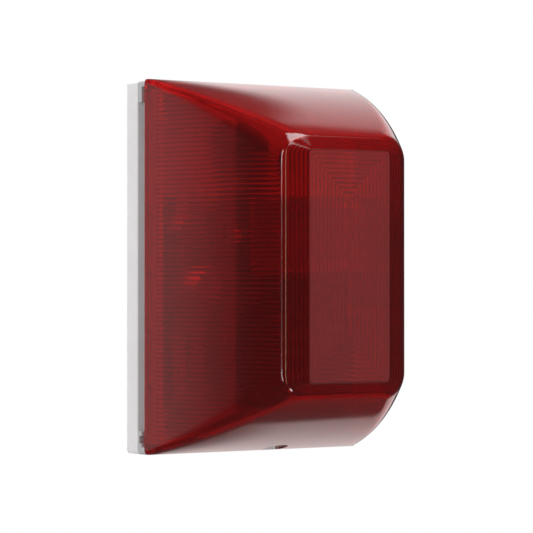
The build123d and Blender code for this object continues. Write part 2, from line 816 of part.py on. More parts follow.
for way, row_z in enumerate(DIP_ROWS):
    with BuildPart() as option_slider:
        add(slab(1.3, 1.1, DIP_X - DIP_TRAVEL / 2, row_z, DIP_FLOOR + 0.15, 15.9))
    save(option_slider.part, f"option_slider_{way + 1}")

# ---------------------------------------------------------------- volume control
VOLUME_BORE = 2.4
VOLUME_SEAT = 13.4
VOLUME_TOP = 16.0
with BuildPart() as volume_control_body:
    add(slab(6.6, 6.6, VOLUME_X, VOLUME_Z, BOARD, VOLUME_TOP, 0.3))
    add(pegs([(VOLUME_X, VOLUME_Z)], VOLUME_BORE, VOLUME_SEAT, VOLUME_TOP), mode=Mode.SUBTRACT)
save(volume_control_body.part, "volume_control_body")

with BuildPart() as volume_rotor:
    add(pegs([(VOLUME_X, VOLUME_Z)], VOLUME_BORE - 0.05, VOLUME_SEAT + 0.1, 16.6))
    with BuildSketch(facing(15.7)):
        with Locations((VOLUME_X, VOLUME_Z)):
            Rectangle(3.6, 0.7)
            Rectangle(0.7, 2.4)
    extrude(amount=1.0, mode=Mode.SUBTRACT)
save(volume_rotor.part, "volume_rotor")

# ---------------------------------------------------------------- tamper switch
TAMPER_BORE = 1.9
TAMPER_BODY_TOP = 17.6
TAMPER_CAP_BACK = 20.2
with BuildPart() as tamper_switch_body:
    add(slab(7.4, 7.4, TAMPER_X, TAMPER_Z, BOARD, TAMPER_BODY_TOP, 0.4))
    add(pegs([(TAMPER_X, TAMPER_Z)], TAMPER_BORE, 12.6, TAMPER_BODY_TOP), mode=Mode.SUBTRACT)
save(tamper_switch_body.part, "tamper_switch_body")

with BuildPart() as tamper_plunger:
    add(
        turned(
            [
                (0.0, 12.9),
                (TAMPER_BORE - 0.05, 12.9),
                (TAMPER_BORE - 0.05, TAMPER_CAP_BACK),
                (3.3, TAMPER_CAP_BACK),
                (3.3, TAMPER_CAP_BACK + 1.2),
                (2.4, 22.4),
                (0.0, 22.4),
            ],
            TAMPER_X,
            TAMPER_Z,
        )
    )
save(tamper_plunger.part, "tamper_plunger")

SPRING_R = 2.6
SPRING_WIRE = 0.2
with BuildPart() as tamper_spring:
    spring_low = TAMPER_BODY_TOP + SPRING_WIRE + 0.05
    spring_high = TAMPER_CAP_BACK - SPRING_WIRE - 0.05
    with BuildLine() as spring_path:
        Helix(
            pitch=(spring_high - spring_low) / 4,
            height=spring_high - spring_low,
            radius=SPRING_R,
            center=(TAMPER_X, -spring_low, TAMPER_Z),
            direction=(0, -1, 0),
        )
    with BuildSketch(Plane(origin=spring_path.line @ 0, z_dir=spring_path.line % 0)):
        Circle(SPRING_WIRE)
    sweep(path=spring_path.line, is_frenet=True)
save(tamper_spring.part, "tamper_spring")
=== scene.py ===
import math

import bmesh
import bpy
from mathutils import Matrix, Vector


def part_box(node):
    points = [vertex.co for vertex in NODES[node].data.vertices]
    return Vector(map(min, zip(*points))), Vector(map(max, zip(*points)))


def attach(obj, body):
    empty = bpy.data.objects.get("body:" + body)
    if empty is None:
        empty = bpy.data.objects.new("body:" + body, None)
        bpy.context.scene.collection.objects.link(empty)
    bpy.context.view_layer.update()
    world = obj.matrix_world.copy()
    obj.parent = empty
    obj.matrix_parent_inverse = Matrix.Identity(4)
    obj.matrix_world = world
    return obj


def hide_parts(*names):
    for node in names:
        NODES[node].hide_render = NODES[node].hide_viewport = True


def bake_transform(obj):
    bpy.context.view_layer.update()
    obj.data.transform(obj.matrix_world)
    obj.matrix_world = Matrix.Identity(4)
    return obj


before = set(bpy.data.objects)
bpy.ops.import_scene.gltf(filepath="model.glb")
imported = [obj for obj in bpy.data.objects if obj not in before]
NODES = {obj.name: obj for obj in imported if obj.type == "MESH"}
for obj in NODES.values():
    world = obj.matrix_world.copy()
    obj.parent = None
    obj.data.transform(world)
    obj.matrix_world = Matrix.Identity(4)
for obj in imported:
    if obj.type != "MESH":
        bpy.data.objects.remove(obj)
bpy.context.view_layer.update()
MM = 0.001

# Looks of a wall-mounted alarm siren: a red fluted cover over a pale back plate and its board.
# X is to the right, -Y comes out of the wall and Z is up. A "depth" is a distance out from
# the wall, in millimetres, as in the CAD source.


# -------- camera
CAMERA_AZIMUTH = math.radians(-34.23)
CAMERA_ELEVATION = math.radians(-0.42)
CAMERA_DISTANCE = 0.9146
CAMERA_AIM = Vector((0.00943, -0.00642, 0.00036))
CAMERA_LENS = 172.1


def make_camera():
    """A long lens a little below the siren's middle, seeing its front and left side."""
    back = Vector((
        math.sin(CAMERA_AZIMUTH) * math.cos(CAMERA_ELEVATION),
        -math.cos(CAMERA_AZIMUTH) * math.cos(CAMERA_ELEVATION),
        math.sin(CAMERA_ELEVATION),
    ))
    data = bpy.data.cameras.new("camera")
    data.lens = CAMERA_LENS
    data.sensor_width = 36.0
    data.clip_start = 0.05
    data.clip_end = 60.0
    camera = bpy.data.objects.new("camera", data)
    bpy.context.scene.collection.objects.link(camera)
    camera.location = CAMERA_AIM + back * CAMERA_DISTANCE
    camera.rotation_mode = "QUATERNION"
    camera.rotation_quaternion = (-back).to_track_quat("-Z", "Y")
    bpy.context.scene.camera = camera


# -------- node helpers
VECTOR = "ShaderNodeVectorMath"


def set_input(tree, socket, value):
    """Link an input to a socket, or set it to a plain value."""
    if isinstance(value, bpy.types.NodeSocket):
        tree.links.new(value, socket)
    else:
        socket.default_value = value


def set_inputs(tree, made, **inputs):
    """Set or link inputs by name, with underscores for the spaces in a name."""
    for name, value in inputs.items():
        set_input(tree, made.inputs[name.replace("_", " ")], value)


def node(tree, kind, settings=(), **inputs):
    """A shader node with its plain settings and named inputs."""
    made = tree.nodes.new(kind)
    for name, value in settings:
        setattr(made, name, value)
    set_inputs(tree, made, **inputs)
    return made


def math_node(tree, operation, *values, kind="ShaderNodeMath", **inputs):
    """One step of arithmetic on sockets or plain values."""
    made = node(tree, kind, [("operation", operation)], **inputs)
    for socket, value in zip(made.inputs, values):
        set_input(tree, socket, value)
    return made.outputs[0]


def ramp(tree, value, start, end, low=0.0, high=1.0, shape="SMOOTHSTEP"):
    """low at start and high at end of a value, eased between them."""
    return node(
        tree, "ShaderNodeMapRange", [("interpolation_type", shape)], Value=value,
        From_Min=start, From_Max=end, To_Min=low, To_Max=high,
    ).outputs["Result"]


def mixed(tree, share, first, second, output):
    """Put a mix of two shaders on the output, all of the first where the share is 0. A share
    given as a name is 1 for that kind of ray."""
    if isinstance(share, str):
        share = tree.nodes.new("ShaderNodeLightPath").outputs[share]
    mix = tree.nodes.new("ShaderNodeMixShader")
    for slot, socket in enumerate((share, first.outputs[0], second.outputs[0])):
        tree.links.new(socket, mix.inputs[slot])
    tree.links.new(mix.outputs[0], output.inputs["Surface"])


# -------- studio
# The panels of light round the siren, in degrees. Azimuth runs from straight behind the siren
# towards its right. "ends" are azimuths and "heights" elevations, "soft" the softness of both.
# "strength" changes from its first to its second value between the elevations of "fade", and
# "lean" shifts a panel to the right for each degree that it rises above or falls below level.
PANELS = [
    # white panels behind the siren, above and below its own height
    dict(ends=(22.9, 50), heights=(14, 37), soft=(0.8, 1.2), strength=(0.86, 0.30),
         fade=(17, 37), lean=0.60),
    dict(ends=(22.5, 50), heights=(-33, -14), soft=(1.2, 1), strength=(0.76, 0.27),
         fade=(17, 37), lean=0.58, colour=(1.0, 0.85, 0.83)),
    # grey surface behind on the left, which the left wall mirrors
    dict(ends=(-70, -25), heights=(-36, 36), soft=(14, 4), strength=(0.30, 0.24), fade=(10, 36)),
    # dim surface beyond the camera's right, which the face mirrors
    dict(ends=(118, 172), heights=(-34, 30), soft=(10, 14), strength=(0.21, 0.17), fade=(0, 30)),
    # narrow softbox at the left, dim across its middle
    dict(ends=(-128, -122), heights=(-22, 26), soft=(1.5, 4), strength=(0.5, 5.0), fade=(1.9, 3.2)),
    # thin warm strip beside the camera
    dict(ends=(-165, -160), heights=(-24, 24), soft=(1, 6), strength=(2.2, 2.2),
         colour=(1.0, 0.72, 0.42)),
    # large softbox behind on the left
    dict(ends=(-49, -8), heights=(-25, 25), soft=(3, 3), strength=(2.1, 2.1)),
    # softbox over the camera's shoulder, which the ring's upper left corner mirrors
    dict(ends=(172, 194), heights=(35, 52), soft=(3, 3), strength=(2.4, 2.4)),
    # small low lamp, for the sparkle on the ring's lower left corner
    dict(ends=(176, 192), heights=(-56, -44), soft=(1.5, 1.5), strength=(9.0, 9.0)),
    # overhead fill in front
    dict(ends=(100, 200), heights=(56, 88), soft=(8, 5), strength=(3.6, 3.6)),
]
WHITE = (1.0, 1.0, 1.0)
AMBIENT = (0.035, 0.035, 0.035)


def panel_light(
    tree, direction, ends, heights, soft, strength, fade=(0.0, 90.0), lean=0.0, colour=WHITE
):
    """The light of one panel: its colour inside its soft edges and black outside them."""
    turned = node(
        tree, "ShaderNodeVectorRotate", [("rotation_type", "Z_AXIS")], Vector=direction,
        Angle=math.radians((ends[0] + ends[1]) / 2),
    )
    split = node(tree, "ShaderNodeSeparateXYZ", Vector=turned.outputs[0])
    around = math_node(tree, "ARCTAN2", split.outputs["X"], split.outputs["Y"])
    up = math_node(tree, "ARCSINE", split.outputs["Z"])
    level = math_node(tree, "ABSOLUTE", up)
    around = math_node(tree, "SUBTRACT", around, math_node(tree, "MULTIPLY", level, lean))
    side_soft, end_soft = [math.radians(value) for value in soft]
    half = math.radians(ends[1] - ends[0]) / 2
    bottom, top = [math.radians(value) for value in heights]
    near, far = [math.radians(value) for value in fade]
    light = ramp(tree, level, near, far, *strength, shape="LINEAR")
    for share in (
        ramp(tree, around, -half - side_soft, -half + side_soft),
        ramp(tree, around, half + side_soft, half - side_soft),
        ramp(tree, up, bottom - end_soft, bottom + end_soft),
        ramp(tree, up, top + end_soft, top - end_soft),
    ):
        light = math_node(tree, "MULTIPLY", light, share)
    return math_node(tree, "SCALE", colour, kind=VECTOR, Scale=light)


def make_studio():
    """A white studio: the camera sees plain white, and the siren is lit by soft panels."""
    world = bpy.data.worlds.new("studio")
    bpy.context.scene.world = world
    world.use_nodes = True
    world.cycles.sampling_method = "MANUAL"
    world.cycles.sample_map_resolution = 1024
    tree = world.node_tree
    tree.nodes.clear()
    direction = tree.nodes.new("ShaderNodeTexCoord").outputs["Generated"]
    total = AMBIENT
    for panel in PANELS:
        total = math_node(tree, "ADD", total, panel_light(tree, direction, **panel), kind=VECTOR)
    panels = node(tree, "ShaderNodeBackground", Color=total)
    white = node(tree, "ShaderNodeBackground", Color=(*WHITE, 1.0))
    output = tree.nodes.new("ShaderNodeOutputWorld")
    mixed(tree, "Is Camera Ray", panels, white, output)
    bpy.context.scene.view_settings.view_transform = "Standard"
    bpy.context.scene.view_settings.look = "None"


# Softboxes aimed at the siren and kept out of its mirror images: place and size in metres,
# and power in watts.
LAMPS = {
    "overhead": ((0.0, 0.0, 1.5), 0.4, 74.0),
    "left_fill": ((-1.1, -0.5, 0.7), 0.5, 4.5),
    "front_fill": ((0.5, -1.2, 0.9), 0.5, 4.0),
}


def make_lamps():
    """Square softboxes that light the siren but don't show in its gloss."""
    for name, (place_at, side, power) in LAMPS.items():
        data = bpy.data.lights.new(name, "AREA")
        data.size = side
        data.energy = power
        lamp = bpy.data.objects.new(name, data)
        bpy.context.scene.collection.objects.link(lamp)
        lamp.location = place_at
        lamp.rotation_euler = (-lamp.location).to_track_quat("-Z", "Y").to_euler()
        lamp.visible_camera = False
        lamp.visible_glossy = False
        lamp.visible_transmission = False


# The floor's sizes are in metres.
FLOOR_LEVEL = -1.0
FLOOR_RADIUS = 4.0
FLOOR_CLEAR = 1.2            # the floor is plain out to here
FLOOR_PALE = 3.0             # and as white as the studio from here
FLOOR_TINT = (0.80, 0.80, 0.79)


def make_floor():
    """A pale round floor well below the siren, paling into the white towards its edge."""
    bm = bmesh.new()
    bmesh.ops.create_circle(bm, cap_ends=True, segments=96, radius=FLOOR_RADIUS)
    floor = finish_mesh(bm, "floor")
    floor.location.z = FLOOR_LEVEL
    made, tree, shader = principled("floor", FLOOR_TINT, 0.7)
    where = tree.nodes.new("ShaderNodeTexCoord").outputs["Object"]
    vary_colour(tree, shader, noise(tree, where, 6.0, 4.0), FLOOR_TINT, 0.03)
    reach = node(tree, VECTOR, [("operation", "LENGTH")], Vector=where).outputs["Value"]
    paled = ramp(tree, reach, FLOOR_CLEAR, FLOOR_PALE)
    glow = node(tree, "ShaderNodeEmission")
    mixed(tree, paled, shader, glow, tree.nodes["Material Output"])
    floor.data.materials.append(made)
    floor.visible_glossy = False
    floor.visible_transmission = False


# -------- materials
EVEN = (1.0, 1.0, 1.0)       # marks that are not stretched along any axis
NOISE_LOW, NOISE_HIGH = 0.3, 0.7    # the range that most of a noise's values are in


def principled(name, colour, roughness, **settings):
    """A material with one Principled shader; returns it with its tree and shader."""
    made = bpy.data.materials.new(name)
    made.use_nodes = True
    tree = made.node_tree
    shader = tree.nodes["Principled BSDF"]
    set_inputs(tree, shader, Base_Color=(*colour, 1.0), Roughness=roughness, **settings)
    return made, tree, shader


def place_coordinates(tree, scale=EVEN):
    """Object coordinates in millimetres, stretched along the axes."""
    where = tree.nodes.new("ShaderNodeTexCoord").outputs["Object"]
    scale = [share / MM for share in scale]
    return node(tree, "ShaderNodeMapping", Vector=where, Scale=scale).outputs[0]


def noise(tree, where, scale, detail=3.0):
    """A noise value between 0 and 1."""
    made = node(tree, "ShaderNodeTexNoise", Vector=where, Scale=scale, Detail=detail)
    return made.outputs["Fac"]


def ramp_colour(tree, value, stops, change="LINEAR"):
    """A colour for each value, through (position, colour) stops."""
    made = node(tree, "ShaderNodeValToRGB", Fac=value)
    made.color_ramp.interpolation = change
    elements = made.color_ramp.elements
    while len(elements) < len(stops):
        elements.new(0.5)
    for element, (position, colour) in zip(elements, stops):
        element.position = position
        element.color = (*colour, 1.0)
    return made.outputs["Color"]


def scaled(colour, share):
    """A colour made lighter or darker."""
    return tuple(min(channel * share, 1.0) for channel in colour)


def vary_colour(tree, shader, value, colour, spread):
    """Vary the colour with a noise value, by a share of it to either side."""
    stops = [(NOISE_LOW, scaled(colour, 1.0 - spread)), (NOISE_HIGH, scaled(colour, 1.0 + spread))]
    set_inputs(tree, shader, Base_Color=ramp_colour(tree, value, stops))


def vary_roughness(tree, shader, value, low, high):
    """Vary the roughness from low to high with a noise value."""
    rough = ramp(tree, value, NOISE_LOW, NOISE_HIGH, low, high, shape="LINEAR")
    set_inputs(tree, shader, Roughness=rough)


def bump(tree, shader, height, depth_mm):
    """Raise the surface by a height value."""
    made = node(tree, "ShaderNodeBump", Strength=1.0, Distance=depth_mm * MM, Height=height)
    set_inputs(tree, shader, Normal=made.outputs[0])


def pass_light(tree, shader, tint):
    """Let lamps shine through: their shadow rays meet a tinted clear shader instead."""
    through = node(tree, "ShaderNodeBsdfTransparent", Color=(*tint, 1.0))
    mixed(tree, "Is Shadow Ray", shader, through, tree.nodes["Material Output"])


def moulded(name, colour, roughness, grain, grain_depth, spread):
    """Moulded plastic: a fine spark-eroded grain, faint flow clouds and uneven gloss."""
    made, tree, shader = principled(name, colour, roughness)
    where = place_coordinates(tree)
    vary_colour(tree, shader, noise(tree, where, 0.12, 4.0), colour, spread)
    speckle = noise(tree, where, grain, 2.0)
    vary_roughness(tree, shader, speckle, roughness - 0.05, roughness + 0.07)
    bump(tree, shader, speckle, grain_depth)
    return made


def metal(name, colour, roughness, scale, depth, stretch=EVEN, spread=0.12):
    """Bare or plated metal: drawn or turned marks, and patches of duller finish."""
    made, tree, shader = principled(name, colour, roughness, Metallic=1.0)
    marks = noise(tree, place_coordinates(tree, stretch), scale, 5.0)
    patches = noise(tree, place_coordinates(tree), 0.35, 3.0)
    vary_colour(tree, shader, patches, colour, spread)
    vary_roughness(tree, shader, patches, roughness - 0.07, roughness + 0.1)
    bump(tree, shader, marks, depth)
    return made


LENS_COLOUR = (0.64, 0.014, 0.016)
LENS_SHADOW = (0.86, 0.10, 0.10)


def lens_red(name, colour, clearness=0.95):
    """Clear red polycarbonate, polished outside, with faint moulding waves."""
    made, tree, shader = principled(
        name, colour, 0.1, IOR=1.58, Transmission_Weight=clearness, Specular_IOR_Level=0.04,
        Coat_Weight=1.0, Coat_Roughness=0.02, Coat_IOR=1.52,
    )
    where = place_coordinates(tree)
    vary_roughness(tree, shader, noise(tree, where, 0.4, 4.0), 0.08, 0.12)
    bump(tree, shader, noise(tree, where, 0.05, 2.0), 0.04)
    pass_light(tree, shader, LENS_SHADOW)
    return made


# -------- lens geometry
# Millimetres, and pairs are (across, up). The walls run forward from REAR with a lean that
# grows, the sloping ring from RING_EDGE to the flat face, and the creases between walls widen.
PLATE_HALF = (45.0, 65.0)
REAR = 11.5
RING_EDGE = 67.1
FACE = 70.3
FACE_HALF = (16.5, 39.2)
WALL_RADIUS = 240.0
WALL_LEANS = (math.radians(12.2), math.radians(13.4))
SKIN = 2.1
FLUTE_PITCH = 1.57
FLUTE_SLOPE = math.radians(24.0)
FLUTE_STEPS = 6
RING_FILLET = 4.2
FACE_FILLET = 2.6
FACE_CORNER = 1.5
# the side walls take their milkier copy of the red, painted light, up to this depth
SIDE_LIGHT_END = 51.0
CREASE_REAR = 1.8
CREASE_FRONT = 8.5
SMALLEST_CORNER = 0.4
FLUTE_FADE = 2.5             # over which the flutes rise at both ends of a wall
FLUTE_EDGE_FADE = 1.2        # and beside a crease
# The number of the material on each part of the cover. Past the plain red they are copies of it: a
# darker one in the grooves as painted shade, and lighter or milkier ones on the flat front, the top
# and bottom walls and the side walls' rear as painted light.
LENS_REDS = ("red_lens", "groove_shade_red", "lit_front_red", "lit_top_bottom_red", "lit_side_red")
GROOVE_SHADE_RED, LIT_FRONT_RED, LIT_TOP_BOTTOM_RED, LIT_SIDE_RED = range(1, 5)
FLAT_FRONT, FLAT_WALL = 0.99, 0.75      # how squarely a face has to look that way


def wall_point(axis, beyond):
    """The outer wall's half size and lean at a distance in front of the rear edge."""
    start = WALL_LEANS[axis]
    lean = math.asin(beyond / WALL_RADIUS + math.sin(start))
    return PLATE_HALF[axis] - WALL_RADIUS * (math.cos(start) - math.cos(lean)), lean


def flute(along):
    """Height of a row of round-backed flutes, 0 in the grooves between them."""
    radius = FLUTE_PITCH / 2 / math.sin(FLUTE_SLOPE)
    off = (along / FLUTE_PITCH - math.floor(along / FLUTE_PITCH) - 0.5) * FLUTE_PITCH
    return math.sqrt(radius**2 - off**2) - radius * math.cos(FLUTE_SLOPE)


def side_profile(axis, wall_rows, strip_rows):
    """(half size, depth, slope, kind, progress) rows of the outside from the rear edge to the
    face. A slope is the outward normal's angle from the plate's plane towards the front."""
    edge_half, edge_lean = wall_point(axis, RING_EDGE - REAR)
    strip_slope = math.atan2(edge_half - FACE_HALF[axis], FACE - RING_EDGE)
    trim = RING_FILLET * math.tan((strip_slope - edge_lean) / 2)
    last = RING_EDGE - REAR - trim * math.cos(edge_lean)
    rows = []
    for step in range(wall_rows + 1):
        beyond = last * step / wall_rows
        at, lean = wall_point(axis, beyond)
        rows.append((at, REAR + beyond, lean, "wall", beyond))

    def add_fillet(kind, from_half, from_depth, start, end, radius, steps):
        centre_half = from_half - radius * math.cos(start)
        centre_depth = from_depth - radius * math.sin(start)
        for step in range(1, steps + 1):
            slope = start + (end - start) * step / steps
            at = centre_half + radius * math.cos(slope)
            depth = centre_depth + radius * math.sin(slope)
            rows.append((at, depth, slope, kind, step / steps))

    # fillet between the wall and the sloping ring
    add_fillet("fillet", *rows[-1][:3], strip_slope, RING_FILLET, 8)
    # straight strip, then the small fillet at the face's edge
    face_trim = FACE_FILLET * math.tan((math.pi / 2 - strip_slope) / 2)
    start_half, start_depth = rows[-1][:2]
    end_half = FACE_HALF[axis] + face_trim * math.sin(strip_slope)
    end_depth = FACE - face_trim * math.cos(strip_slope)
    length = math.dist((start_half, start_depth), (end_half, end_depth))
    for step in range(1, strip_rows + 1):
        share = step / strip_rows
        at = start_half + (end_half - start_half) * share
        depth = start_depth + (end_depth - start_depth) * share
        rows.append((at, depth, strip_slope, "strip", share * length))
    add_fillet("edge", end_half, end_depth, strip_slope, math.pi / 2, FACE_FILLET, 4)
    return rows


def smooth(share):
    """Eased step from 0 to 1."""
    share = min(max(share, 0.0), 1.0)
    return share * share * (3.0 - 2.0 * share)


def corner_radius(side, top):
    """The rounding between neighbouring walls: a crease, opening into the ring's corner."""
    kind, progress = side[3:]
    if kind == "wall":
        share = progress / (RING_EDGE - REAR)
        crease = CREASE_REAR + (CREASE_FRONT - CREASE_REAR) * share
        return crease, crease
    cone = (side[0] - FACE_HALF[0] + FACE_CORNER, top[0] - FACE_HALF[1] + FACE_CORNER)
    if kind == "fillet":
        blend = smooth(progress)
        return tuple(CREASE_FRONT + (each - CREASE_FRONT) * blend for each in cone)
    return tuple(max(each, SMALLEST_CORNER) for each in cone)


def shell_rows(wall_rows, strip_rows):
    """The outside as matched rows for the two axes, with their corner roundings."""
    sides, tops = [side_profile(axis, wall_rows, strip_rows) for axis in (0, 1)]
    return [(side, top, corner_radius(side, top)) for side, top in zip(sides, tops)]


# A loop's keys go from 0 to 1 round a corner, then from about SIDE_START along the side after
# it, and each corner starts a QUARTER higher than the last.
QUARTER, SIDE_START = 1000, 500


def loop_points(side, top, radii, thickness, stations, corner_steps, ripple=None):
    """One closed loop of the shell: (order key, point) pairs, anticlockwise from the right
    side's lower end. thickness moves it inwards along the slope. stations are the flute
    positions wanted along each straight side, and ripple adds flute height to the skin."""
    half_x, depth_x, slope_x = side[:3]
    half_z, depth_z, slope_z = top[:3]
    radius_x, radius_z = radii
    straight_x = max(half_x - radius_x, 0.0)
    straight_z = max(half_z - radius_z, 0.0)

    def inwards(x_sign, z_sign, share, x, z, extra):
        """Move a surface point in along its normal; share is 0 on a side, 1 on the top."""
        slope = slope_x + (slope_z - slope_x) * share
        depth = depth_x + (depth_z - depth_x) * share
        angle = share * math.pi / 2
        amount = thickness + extra
        flat = amount * math.cos(slope)
        return Vector((
            (x - x_sign * flat * math.cos(angle)) * MM,
            -(depth - amount * math.sin(slope)) * MM,
            (z - z_sign * flat * math.sin(angle)) * MM,
        ))

    loop = []
    for quarter, (x_sign, z_sign) in enumerate(((1, 1), (-1, 1), (-1, -1), (1, -1))):
        base = QUARTER * quarter
        arc = []
        for step in range(corner_steps + 1):
            share = step / corner_steps
            angle = share * math.pi / 2
            x = x_sign * (straight_x + radius_x * math.cos(angle))
            z = z_sign * (straight_z + radius_z * math.sin(angle))
            arc.append((share, inwards(x_sign, z_sign, share, x, z, 0.0)))
        if quarter % 2:
            arc.reverse()
        for number, (share, point) in enumerate(arc):
            loop.append((base + number / corner_steps, point))
        # the straight side that follows this corner
        vertical = quarter % 2 == 1
        limit = straight_z if vertical else straight_x
        if isinstance(stations, int):
            places = [limit * (2 * step / stations - 1) for step in range(1, stations)]
            keys = range(1, stations)
        else:
            places = [at for at in stations[1 if vertical else 0] if abs(at) < limit - 0.02]
            keys = places
        for key, station in zip(keys, places):
            rise = ripple(station, limit) if ripple else 0.0
            if vertical:
                point = inwards(x_sign, 0, 0.0, x_sign * half_x, x_sign * station, rise)
            else:
                point = inwards(0, z_sign, 1.0, -z_sign * station, z_sign * half_z, rise)
            loop.append((base + SIDE_START + key, point))
    return loop


def in_groove(phase):
    """Whether a place across the flutes, in pitches, is in the bottom of a groove."""
    return abs(phase - round(phase)) < 1.01 / FLUTE_STEPS


def stitch(bm, rows, grooves=None):
    """Join closed loops of (key, vertex) in order, with quads where the keys agree.
    grooves says, for a row's number and a key, whether a face takes the groove's material."""
    for row, (first, second) in enumerate(zip(rows, rows[1:])):
        count_a, count_b = len(first), len(second)
        a = b = 0
        while a < count_a or b < count_b:
            key_a = first[(a + 1) % count_a][0] + (4 * QUARTER if a + 1 >= count_a else 0)
            key_b = second[(b + 1) % count_b][0] + (4 * QUARTER if b + 1 >= count_b else 0)
            here_a, here_b = first[a % count_a][1], second[b % count_b][1]
            next_a, next_b = first[(a + 1) % count_a][1], second[(b + 1) % count_b][1]
            key = first[a % count_a][0]
            if a < count_a and b < count_b and abs(key_a - key_b) < 1e-6:
                made = bm.faces.new((here_a, next_a, next_b, here_b))
                a += 1
                b += 1
            elif b >= count_b or (a < count_a and key_a < key_b):
                made = bm.faces.new((here_a, next_a, here_b))
                a += 1
            else:
                made = bm.faces.new((here_a, next_b, here_b))
                b += 1
            # painted shade: faces at the bottom of a groove take a darker copy of the red, which
            # draws dark lines along the flutes
            if grooves and grooves(row, key):
                made.material_index = GROOVE_SHADE_RED


def lens_shell():
    """The cover's shell: a smooth outside, and an inside with flutes on every face."""
    bm = bmesh.new()

    def add_loop(*shape):
        return [(key, bm.verts.new(point)) for key, point in loop_points(*shape)]

    outer = []
    for side, top, radii in shell_rows(36, 6):
        outer.append(add_loop(side, top, radii, 0.0, 24, 12))
    bm.faces.new([vertex for key, vertex in reversed(outer[-1])])
    stitch(bm, outer)
    bm.normal_update()
    # painted light: faces looking to the front, up or down, or to the side near the rear take
    # lighter or milkier copies of the red, for how brightly they are lit
    for face in bm.faces:
        if abs(face.normal.y) > FLAT_FRONT:
            face.material_index = LIT_FRONT_RED
        elif abs(face.normal.z) > FLAT_WALL:
            face.material_index = LIT_TOP_BOTTOM_RED
        elif abs(face.normal.x) > FLAT_WALL and -face.calc_center_median().y < SIDE_LIGHT_END * MM:
            face.material_index = LIT_SIDE_RED

    # inside: flutes run to the front on the walls and go round the ring and the face
    def wall_groove(row, key):
        station = key % QUARTER - SIDE_START + FLUTE_PITCH / FLUTE_STEPS / 2
        return 0 < row and abs(station) < PLATE_HALF[1] and in_groove(station / FLUTE_PITCH)

    def ring_groove(row, key):
        return in_groove((row + 0.5) / FLUTE_STEPS)

    fine = []
    for half in PLATE_HALF:
        count = int(half / FLUTE_PITCH * FLUTE_STEPS) + 1
        fine.append([number * FLUTE_PITCH / FLUTE_STEPS for number in range(-count, count + 1)])
    walls = []
    wall_rows = 12
    for side, top, radii in shell_rows(wall_rows, 1):
        kind, progress = side[3:]
        if kind == "strip":
            strip_length = progress
        if kind != "wall":
            continue
        to_ring = RING_EDGE - REAR - progress - 1.0
        ends = smooth(progress / FLUTE_FADE) * smooth(to_ring / FLUTE_FADE)

        def ripple(station, limit, ends=ends):
            return flute(station) * ends * smooth((limit - abs(station)) / FLUTE_EDGE_FADE)

        walls.append(add_loop(side, top, radii, SKIN, fine, 6, ripple))
    coarse = [[step * 4.0 for step in range(-10, 11)], [step * 5.0 for step in range(-12, 13)]]
    inner = [walls[-1]]
    strip_rings = round(strip_length / FLUTE_PITCH)
    strip_start = 0
    for side, top, radii in shell_rows(wall_rows, strip_rings * FLUTE_STEPS):
        kind, progress = side[3:]
        if kind == "wall":
            continue
        extra = 0.0
        if kind == "strip":
            extra = flute(progress / strip_length * strip_rings * FLUTE_PITCH)
            strip_start = strip_start or len(inner)
        inner.append(add_loop(side, top, radii, SKIN + extra, coarse, 6))
    rings = int(FACE_HALF[0] / FLUTE_PITCH)
    for number in range(1, rings * FLUTE_STEPS):
        travel = number * FLUTE_PITCH / FLUTE_STEPS
        half_x, half_z = FACE_HALF[0] - travel, FACE_HALF[1] - travel
        corner = max(FACE_CORNER - travel * 0.3, 0.35)     # its rounding shrinks inwards
        side = (half_x, FACE, math.pi / 2)
        top = (half_z, FACE, math.pi / 2)
        skin = SKIN + flute(travel)
        inner.append(add_loop(side, top, (corner, corner), skin, coarse, 6))
    bm.faces.new([vertex for key, vertex in inner[-1]])
    face_start = len(inner) - rings * FLUTE_STEPS
    stitch(bm, [outer[0], walls[0]])
    stitch(bm, walls, wall_groove)
    stitch(bm, inner[:strip_start])
    stitch(bm, inner[strip_start - 1:face_start + 1], ring_groove)
    stitch(bm, inner[face_start:], ring_groove)
    bmesh.ops.remove_doubles(bm, verts=bm.verts, dist=2e-6)
    bmesh.ops.recalc_face_normals(bm, faces=bm.faces)
    return bm


def finish_mesh(bm, name, sharp=30.0):
    """Turn a bmesh into a smooth-shaded object with its sharp edges kept."""
    mesh = bpy.data.meshes.new(name)
    bm.to_mesh(mesh)
    bm.free()
    mesh.shade_smooth()
    mesh.set_sharp_from_angle(angle=math.radians(sharp))
    made = bpy.data.objects.new(name, mesh)
    bpy.context.scene.collection.objects.link(made)
    return made


# -------- small mesh makers
def place(x, depth, z):
    """A point from millimetres: across, out from the wall, and up."""
    return Vector((x, -depth, z)) * MM


def prism(bm, outline, start, end):
    """A closed block: start and end place each point of a closed outline."""
    rings = [[bm.verts.new(end_place(*point)) for point in outline] for end_place in (start, end)]
    bm.faces.new(rings[0])
    bm.faces.new(list(reversed(rings[1])))
    for number in range(len(outline)):
        after = (number + 1) % len(outline)
        bm.faces.new((rings[0][number], rings[0][after], rings[1][after], rings[1][number]))


def polar(radius, turn):
    """A point at a distance and an angle from the origin."""
    return radius * math.cos(turn), radius * math.sin(turn)


def circle(radius, steps=48):
    """Points of a circle about the origin."""
    return [polar(radius, 2 * math.pi * step / steps) for step in range(steps)]


def spun(bm, outline, where, steps=32):
    """A turned solid from (radius, along) points; where places (across, up, along)."""
    rings = []
    for radius, along in outline:
        if radius == 0.0:
            rings.append([bm.verts.new(where(0.0, 0.0, along))])
        else:
            rings.append([bm.verts.new(where(a, b, along)) for a, b in circle(radius, steps)])
    if outline[0][0] > 0.0:
        rings.append(rings[0])
    for first, second in zip(rings, rings[1:]):
        for step in range(steps):
            after = (step + 1) % steps
            corners = [first[step % len(first)], first[after % len(first)]]
            corners += [second[after % len(second)], second[step % len(second)]]
            bm.faces.new(list(dict.fromkeys(corners)))


